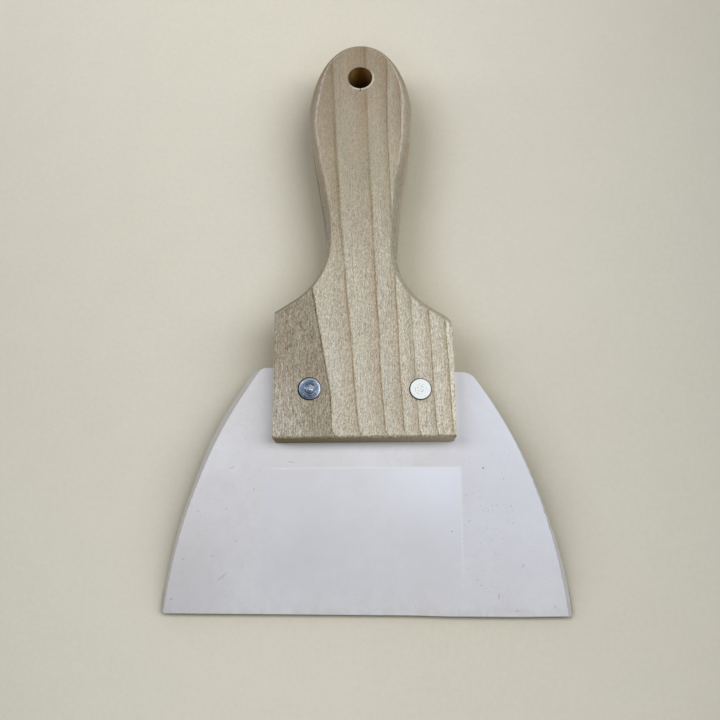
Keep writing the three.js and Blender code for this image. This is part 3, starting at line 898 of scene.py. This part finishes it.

    # End grain, darker and coarser, with painted shade on the handle's front end, deepest on its left.
    end = n.step(abs(facing_y), 0.45, 0.95)
    coarse = n.noise(1.1, 3, 0.65, 9)
    cut = n.ramp(n.linear(n.x, -BLOCK_HALF_WIDTH, BLOCK_HALF_WIDTH),
                 [(0.0, (0.19, 0.15, 0.03)), (0.5, (0.31, 0.255, 0.14)), (1.0, (0.54, 0.44, 0.30))])
    cut = n.scale(cut, n.linear(coarse, 0.3, 0.7, 0.65, 1.35))
    colour = n.mix(end * n.step(n.y, TOP_Y - 30, FRONT_Y, 0.3, 1.0), colour, cut)

    # The block's eased front edge is ragged and darker.
    eased = n.step(facing_y, -0.12, -0.4) * n.step(facing_y, -0.95, -0.7)
    eased = eased * n.step(n.y, FRONT_Y + 4, FRONT_Y + 2)
    ragged = n.step(n.noise(1.1, 2, 0.6, 13), 0.38, 0.58, 0.25, 1.0)
    colour = n.mix(eased * ragged * 0.8, colour, seen(112, 101, 82))

    # Inside the hang hole, brown, with painted shade: darker down the bore, on the walls that face the sides
    # and just under the rim.
    from_hole = n.away(GRIP_X, HANG_HOLE_Y)
    inside = n.step(from_hole, 5.25, 5.08) * n.step(n.z, THICKNESS - 0.2, THICKNESS - 0.6)
    hole_shade = n.step(abs(facing_y), 0.45, 0.95, 0.4, 1.0) * n.step(n.z, THICKNESS - 4, THICKNESS - 14, 1.0, 0.4)
    hole_shade = hole_shade * n.step(n.z, THICKNESS - 0.5, THICKNESS - 1.6, 0.45, 1.0)
    colour = n.mix(inside, colour, n.scale(srgb(190, 150, 86), n.linear(coarse, 0.3, 0.7, 0.7, 1.2) * hole_shade))
    crack = (n.step(abs(n.x - GRIP_X), 0.3, 0.1) * n.step(HANG_HOLE_Y - 4.6 - n.y, 0, 0.3)
             * n.step(HANG_HOLE_Y - 6.3 - n.y, 0.6, 0.0))
    colour = n.mix(crack * 0.9, colour, srgb(52, 40, 24))

    # The rivets' recesses shade the wood on their lower side.
    for x, y, head in RIVETS:
        away = n.away(x - RECESS_OFF, y - RECESS_OFF)
        rim = n.step(away, head + 0.9, head + 0.25) * n.step(n.y - y, 2.0, -2.5)
        colour = n.scale(colour, 1 - rim * n.step(n.z, SLOT_HIGH, THICKNESS) * 0.35)
        recess = n.step(away, head + HEAD_GAP + 0.12, head + HEAD_GAP + 0.03)
        colour = n.scale(colour, 1 - recess * 0.75)

    # Pale line along the cut arrises of the grip: raised fibres, with a painted highlight where they catch
    # the light.
    arris_highlight = (n.mark() * n.step(n.noise((0.6, 0.45, 0.6), 2, 0.6, 10), 0.38, 0.58, 0.35, 1.0)
            * n.step(n.y, 84, 100, 0.2, 1.0))
    at_hole = n.step(from_hole, 7.5, 6.5)
    lit_side = n.step((n.x - GRIP_X) * 0.6 + (HANG_HOLE_Y - n.y) * 0.8, -0.5, 3.5)
    arris_highlight = arris_highlight * (1 - at_hole) * n.step(n.y, 147, 141)
    colour = n.mix(arris_highlight * 0.9, colour, seen(194, 188, 180))
    # Painted highlight on the hang hole's rounded rim, on its lit side.
    hole_rim_highlight = n.step(from_hole, 6.05, 5.75) * n.step(from_hole, 5.0, 5.25) * lit_side
    hole_rim_highlight = hole_rim_highlight * n.step(facing_z, 0.2, 0.6) * (1 - crack)
    colour = n.mix(hole_rim_highlight * 0.65, colour, seen(212, 206, 198))

    height = fibre * 0.7 + fleck * 0.5 + streak * 0.4 + coarse * end * 2.0
    bumped = n.bump(height, 0.08, 0.5)
    rough = n.linear(fibre, 0.3, 0.7, 0.52, 0.7)
    return n.finish(Base_Color=colour, Roughness=rough, Normal=bumped, Specular_IOR_Level=0.3)


NICK_X = side_half_width(-49.3) + SIDE_SHIFT - 0.5

# Dark specks, nicks and short scratches on the blade: (x, y, half length, half width, angle, strength).
SPECKS = [
    (-27.6, -26.1, 1.3, 0.16, -12, 0.5), (-49.4, -27.9, 0.9, 0.3, 20, 0.45),
    (-44.9, -17.1, 0.3, 0.25, 0, 0.5), (-41.4, -36.0, 0.3, 0.3, 0, 0.6), (-51.7, -42.9, 0.35, 0.3, 0, 0.4),
    (-62.2, -43.7, 0.5, 0.2, -15, 0.6), (-48.0, -54.5, 0.35, 0.35, 0, 0.35),
    (-67.7, -60.9, 0.3, 0.3, 0, 0.55), (-53.2, -67.4, 2.6, 0.2, 38, 0.45),
    (-72.1, -75.1, 0.55, 0.3, 0, 0.55), (-56.7, -59.9, 0.4, 0.5, 30, 0.3),
    (44.0, -29.0, 0.42, 0.38, 0, 1.0), (37.4, -38.7, 0.9, 0.15, 0, 0.4), (51.4, -33.1, 0.3, 0.25, 0, 0.4),
    (38.3, -48.4, 0.4, 0.3, 0, 0.4), (31.9, -51.8, 0.35, 0.3, 0, 0.55), (53.9, -42.8, 0.3, 0.3, 0, 0.5),
    (54.4, -48.9, 0.3, 0.25, 0, 0.4), (57.7, -64.2, 0.9, 0.17, 55, 0.75), (41.1, -68.9, 0.3, 0.25, 0, 0.7),
    (42.4, -71.0, 0.5, 0.15, 0, 0.6), (48.7, -75.0, 1.1, 0.16, 82, 0.75), (55.1, -80.2, 0.8, 0.25, 20, 0.5),
    (69.0, -78.6, 0.3, 0.5, 0, 0.4), (NICK_X, -49.3, 0.35, 0.6, 10, 0.8),
    (NICK_X - 1.8, -44.0, 0.3, 0.4, 10, 0.6),
]
PANEL = (-38.6, 35.6, -78.0, -28.5)


def rubber():
    n = Nodes("white_filled_rubber")
    cloud = n.noise(0.03, 3, 0.55, 1)
    mottle = n.noise(0.22, 3, 0.6, 2)
    grain = n.noise(1.6, 2, 0.6, 3)
    colour = n.mix(n.step(cloud, 0.35, 0.65), srgb(214, 213, 216), srgb(220, 221, 225))
    colour = n.mix(n.step(mottle, 0.35, 0.7, 0, 0.35), colour, srgb(208, 207, 209))
    colour = n.scale(colour, n.linear(grain, 0.3, 0.7, 0.985, 1.015))

    # A faintly smoother panel, left where a label was, with a pale border on the right and at the top.
    left, right, low, high = PANEL
    inside = (n.step(n.x, left - 0.4, left + 0.4) * n.step(n.x, right + 0.25, right - 0.25)
              * n.step(n.y, high + 0.25, high - 0.25) * n.step(n.y, low - 4, low + 14))
    beside = n.step(abs(n.x - right), 0.7, 0.1) * n.step(n.y, high + 0.6, high) * n.step(n.y, low, low + 24)
    above = n.step(abs(n.y - high), 0.6, 0.1) * n.step(n.x, left, left + 8) * n.step(n.x, right + 0.6, right)
    border = n.math("MAXIMUM", beside, above)
    # Painted sheen: a bright bluish patch on the panel's upper right.
    panel_sheen_highlight = n.step(n.vector("DISTANCE", n.place, (27.0, -31.0, 11.0)), 30, 2) * inside
    colour = n.mix(inside * 0.35, colour, srgb(217, 219, 226))
    colour = n.scale(colour, 1 - inside * n.step(n.x, 5, -25, 0, 0.016))
    colour = n.mix(panel_sheen_highlight * 0.62, colour, srgb(236, 241, 252))
    # Painted sheen: a faint bluish cast over the blade's right side.
    colour = n.mix(n.step(n.x, 20, 50) * n.step(n.y, -85, -35, 0.1, 0.5), colour, srgb(221, 225, 239))
    colour = n.mix(border * 0.4, colour, srgb(234, 235, 238))

    # Painted light and shade: lighter towards the handle, darker towards the lower left corner.
    lower_left_painted_shade = n.step(n.x, -35, -75, 0, 0.1) * n.step(n.y, -45, -80)
    colour = n.multiply(n.scale(colour, n.linear(n.y, -80, 10, 0.975, 1.09) - lower_left_painted_shade), (0.995, 1.0, 1.025))
    # Painted light on the blade below the block, against the block's shadow; in the lower part a little
    # darker on the left, lighter on the right.
    painted_light_below_block = n.step(n.y, -60, -42) * n.step(n.x, 22, 5) * n.step(n.x, -45, -30, 0.5, 1)
    lower = n.step(n.y, -40, -60) * n.step(n.x, -10, 30, -0.012, 0.02)
    colour = n.scale(colour, 1 + painted_light_below_block * 0.035 + lower)

    # Fine dirt: scattered specks, more of them outside the panel, and the larger marks one by one.
    dirt = n.step(n.cells(0.42, 1), 0.14, 0.05) * n.step(n.noise(0.12, 2, 0.5, 5), 0.52, 0.66)
    dirt = dirt * n.step(inside, 0, 1, 0.5, 0.15)
    beside_panel = n.step(n.x, 60, 46) * n.step(n.x, right - 1, right + 1) * n.step(n.y, high, high - 10)
    dust = (n.step(n.cells(1.1, 2), 0.26, 0.1) * n.step(n.noise(0.3, 1, 0.5, 6), 0.42, 0.58)
            * (n.step(inside, 0, 1, 0.3, 0.08) + beside_panel * 0.35))
    marks = n.math("MAXIMUM", dirt, dust)
    for x, y, length, width, angle, strength in SPECKS:
        c, s = math.cos(math.radians(angle)), math.sin(math.radians(angle))
        dx, dy = n.x - x, n.y - y
        u, v = (dx * c + dy * s) / length, (dx * -s + dy * c) / width
        marks = n.math("MAXIMUM", marks, n.step(u * u + v * v, 1.6, 0.3, 0, strength))
    ragged = n.noise(2.4, 2, 0.6, 7)
    marks = marks * n.step(ragged, 0.3, 0.6, 0.35, 1.0)
    colour = n.mix(marks * 0.8, colour, srgb(104, 98, 96))

    # The cut sides are greyer, and the scraping edge a little soiled.
    _, _, up = n.parts(n.normal)
    side = n.step(up, 0.9, 0.5)
    grey = n.scale(srgb(178, 175, 176), n.linear(mottle, 0.3, 0.7, 0.93, 1.06))
    colour = n.mix(side * 0.75, colour, grey)
    arris = n.mark() * n.step(n.x, 25, 40) * n.step(n.y, 6, -10)
    colour = n.mix(arris * 0.5, colour, srgb(140, 140, 156))
    soil = n.step(n.y, EDGE_Y + 3.5, EDGE_Y) * n.step(mottle, 0.4, 0.62, 0, 0.14)
    colour = n.mix(soil, colour, srgb(176, 170, 166))

    rough = n.linear(inside, 0, 1, 0.52, 0.4) + (mottle - 0.5) * 0.12
    height = grain * 0.25 + mottle * 0.5 + marks * -0.8 + border * 0.25
    bumped = n.bump(height, 0.06, 0.5)
    return n.finish(Base_Color=colour, Roughness=rough, Normal=bumped, Specular_IOR_Level=0.4,
                    Subsurface_Weight=0.06, Subsurface_Radius=(0.004, 0.004, 0.004), Subsurface_Scale=0.3)


def steel(name, rivet, base, dark, metal, rough, rings):
    """Steel of one rivet, with marks round its axis: rings is 1 on a pressed head, near 0 on a turned one."""
    n = Nodes(name)
    dx, dy = n.x - rivet[0], n.y - rivet[1]
    radius = n.vector("LENGTH", n.join(dx, dy, 0.0))
    bend = (n.noise(0.55, 2, 0.5, 1) - 0.5) * 1.5
    turning = n.noise((5.5, 0, 0), 3, 0.7, 2, n.join(radius + bend * rings, 0.0, 0.0))
    cloud = n.noise(0.7, 3, 0.6, 3)
    scratch = n.noise((0.4, 7.0, 0.4), 2, 0.6, 4)
    colour = n.mix(n.step(cloud, 0.35, 0.65), base, dark)
    colour = n.scale(colour, n.linear(turning, 0.3, 0.7, 0.93, 1.05))
    if rings > 0.5:
        # The pressed face: painted highlights on the rim and the boss, and painted shade in dark arcs below
        # the boss.
        rim = n.step(radius, 3.0, 3.6) * n.step(radius, 4.2, 4.0) * n.step(dx + dy, -4.5, 0.5)
        boss = n.step(n.vector("DISTANCE", n.join(dx, dy * 0.8, 0.0), (0.45, 0.2, 0.0)), 1.3, 0.5)
        arcs = n.step(n.math("SINE", (radius + bend) * 7.5), -0.1, 0.8) * n.step(dy + dx * 0.6, 0.8, -1.2)
        colour = n.mix(rim * 0.75, colour, srgb(196, 208, 226))
        colour = n.mix(boss * 0.8, colour, srgb(186, 200, 218))
        colour = n.mix(arcs * n.step(radius, 3.9, 3.5) * (1 - boss) * 0.75, colour, srgb(48, 58, 76))
    else:
        # The turned face: a little greyer in uneven arcs round its centre.
        uneven = n.noise(1.3, 2, 0.6, 5)
        arcs = n.step(n.math("SINE", (radius + bend * 0.5) * 7.0), 0.1, 0.9) * n.step(uneven, 0.42, 0.6)
        colour = n.mix(arcs * n.step(radius, 2.9, 1.4, 0.15, 0.9), colour, srgb(146, 160, 182))
    _, _, up = n.parts(n.normal)
    # Painted shade on the rivet's steep walls, down in the recess gaps.
    wall = n.step(abs(up), 0.8, 0.3)
    colour = n.mix(wall * 0.85, colour, srgb(36, 34, 34))
    height = turning * 0.6 + scratch * 0.25 + cloud * (0.6 * rings)
    bumped = n.bump(height, 0.035, 0.6)
    roughness = rough + (cloud - 0.5) * 0.25 + (turning - 0.5) * 0.15
    return n.finish(Base_Color=colour, Metallic=metal, Roughness=roughness, Normal=bumped)


def paper():
    n = Nodes("pale_table")
    broad = n.noise(0.006, 2, 0.5, 1)
    fine = n.noise(0.08, 3, 0.6, 2)
    tooth = n.noise(0.55, 2, 0.6, 3)
    colour = n.mix(n.step(broad, 0.3, 0.7), srgb(222, 218, 205), srgb(224, 221, 209))
    colour = n.scale(colour, n.linear(fine, 0.3, 0.7, 0.99, 1.01))
    colour = n.scale(colour, n.linear(tooth, 0.3, 0.7, 0.98, 1.02))

    # Painted light falloff: the table darkens to the right and a little towards the bottom.
    side = n.linear(n.x, -160, 160, -1.6, 1.6)
    along = n.linear(n.y, -130, 190, -1.3, 1.9)
    painted_falloff = 1 + side * -0.046 + along * 0.031 + side * side * -0.068 + side * along * -0.015
    colour = n.scale(colour, painted_falloff)

    # Shadows right beside the tool are deeper and warmer than the two lights alone make them.
    colour = n.mix(n.open_air(25), n.multiply(colour, (0.50, 0.46, 0.32)), colour)
    # Painted contact shadow: a dark line where the tool all but touches the table.
    contact_shadow = n.step(n.open_air(2.2), 0.9, 0.5)
    colour = n.mix(contact_shadow * 0.75, colour, srgb(96, 84, 66))
    bumped = n.bump(tooth + fine * 2, 0.03, 0.3)
    return n.finish(Base_Color=colour, Roughness=0.75, Normal=bumped, Specular_IOR_Level=0.25)


# ---------------------------------------------------------------- pieces

handle_skin().piece("wooden_handle_shaped", "wooden_handle", "handle_wood", wood())
blade_skin().piece("rubber_blade_sagging", "rubber_blade", "blade_rubber", rubber(), move=blade_place)

# The right rivet's near-white steel is a painted reflection of the light.
steels = (steel("pressed_steel", RIVETS[0], srgb(138, 152, 176), srgb(88, 102, 126), 0.55, 0.34, 1.0),
          steel("steel_painted_bright", RIVETS[1], srgb(252, 255, 255), srgb(244, 252, 255), 0.1, 0.44, 0.15))
for side, rivet, material in zip(("left", "right"), RIVETS, steels):
    for half, look, skin_args in (("cap", "pressed", (cap_profile(rivet[2]), rivet, hammered)),
                                  ("post", "turned", (post_profile(rivet[2]), rivet, None))):
        name = f"{side}_rivet_{half}"
        turned_skin(*skin_args, flip=side == "right").piece(f"{name}_{look}", name, "rivet_steel", material)

# ---------------------------------------------------------------- table, light and camera


TABLE_FLAT, TABLE_RADIUS = 1.3, 3.4  # metres
TABLE_RISE = 0.2  # height of the rim per square metre beyond the flat part
TABLE_RINGS, TABLE_STEPS = 40, 96


def table_top():
    """A wide round table whose far rim curves up out of sight."""
    mesh = bpy.data.meshes.new("table_top")
    around = np.arange(TABLE_STEPS) * 2 * math.pi / TABLE_STEPS
    points, faces = [(0.0, 0.0, 0.0)], []
    for ring, radius in enumerate(np.linspace(0.3, TABLE_RADIUS, TABLE_RINGS)):
        height = TABLE_RISE * max(0.0, radius - TABLE_FLAT) ** 2
        points += [(radius * math.cos(a), radius * math.sin(a), height) for a in around]
        start = 1 + ring * TABLE_STEPS
        for i in range(TABLE_STEPS):
            j = (i + 1) % TABLE_STEPS
            inner = (start - TABLE_STEPS + i, start - TABLE_STEPS + j) if ring else (0,)
            faces.append((inner[0], start + i, start + j, *inner[1:]))
    mesh.from_pydata(points, [], faces)
    mesh.update()
    mesh.polygons.foreach_set("use_smooth", [True] * len(mesh.polygons))
    mesh.materials.append(paper())
    return show("table_top", mesh)


table_top()


# Two broad lights, one each side, as the photograph's soft shadows show. Little light comes from straight
# above or from the front. Each is (name, low and high x, low and high y, as shares of the height; radiance).
LIGHT_HEIGHT = 2.5
LIGHT_COLOUR = (1.0, 1.0, 0.995)
LIGHTS = [("right_window", 0.17, 2.70, -0.20, 0.40, 4.40), ("left_window", -3.50, -0.32, -0.05, 0.52, 3.86)]
for name, x0, x1, y0, y1, radiance in LIGHTS:
    width, depth = (x1 - x0) * LIGHT_HEIGHT, (y1 - y0) * LIGHT_HEIGHT
    data = bpy.data.lights.new(name, "AREA")
    data.shape = "RECTANGLE"
    data.size, data.size_y = width, depth
    data.energy = radiance * math.pi * width * depth
    data.color = LIGHT_COLOUR
    light = show(name, data)
    light.location = (x0 + x1) / 2 * LIGHT_HEIGHT, (y0 + y1) / 2 * LIGHT_HEIGHT, LIGHT_HEIGHT

# A dim warm room. The camera sees it in the table's tone.
world = bpy.data.worlds.new("room")
world.use_nodes = True
bpy.context.scene.world = world
tree = world.node_tree
room = tree.nodes["Background"]
shown = tree.nodes.new("ShaderNodeBackground")
path, blend = tree.nodes.new("ShaderNodeLightPath"), tree.nodes.new("ShaderNodeMixShader")
room.inputs["Color"].default_value = (1.0, 0.97, 0.88, 1)
room.inputs["Strength"].default_value = 0.05
shown.inputs["Color"].default_value = (0.60, 0.58, 0.52, 1)
for output, target in ((path.outputs["Is Camera Ray"], blend.inputs[0]), (room.outputs[0], blend.inputs[1]),
                       (shown.outputs[0], blend.inputs[2]),
                       (blend.outputs[0], tree.nodes["World Output"].inputs["Surface"])):
    tree.links.new(output, target)

# The photograph's viewpoint, worked out from the outline: above the blade, looking down and a little up the
# handle.
CAMERA_PLACE = (4.10, -67.38, 304.07)
CAMERA_AHEAD = (-0.01855, 0.26685, -0.96356)
CAMERA_UP = (0.01182, 0.96372, 0.26666)
camera_data = bpy.data.cameras.new("camera")
camera_data.sensor_width = 36.0
camera_data.lens = 39.0
camera_data.clip_start, camera_data.clip_end = 0.01, 20
camera = show("camera", camera_data)
ahead = Vector(CAMERA_AHEAD).normalized()
right = ahead.cross(Vector(CAMERA_UP)).normalized()
up = right.cross(ahead)
turn = Matrix((right, up, -ahead)).transposed().to_4x4()
camera.matrix_world = Matrix.Translation(Vector(CAMERA_PLACE) * MM) @ turn
bpy.context.scene.camera = camera

bpy.context.scene.view_settings.view_transform = "Standard"
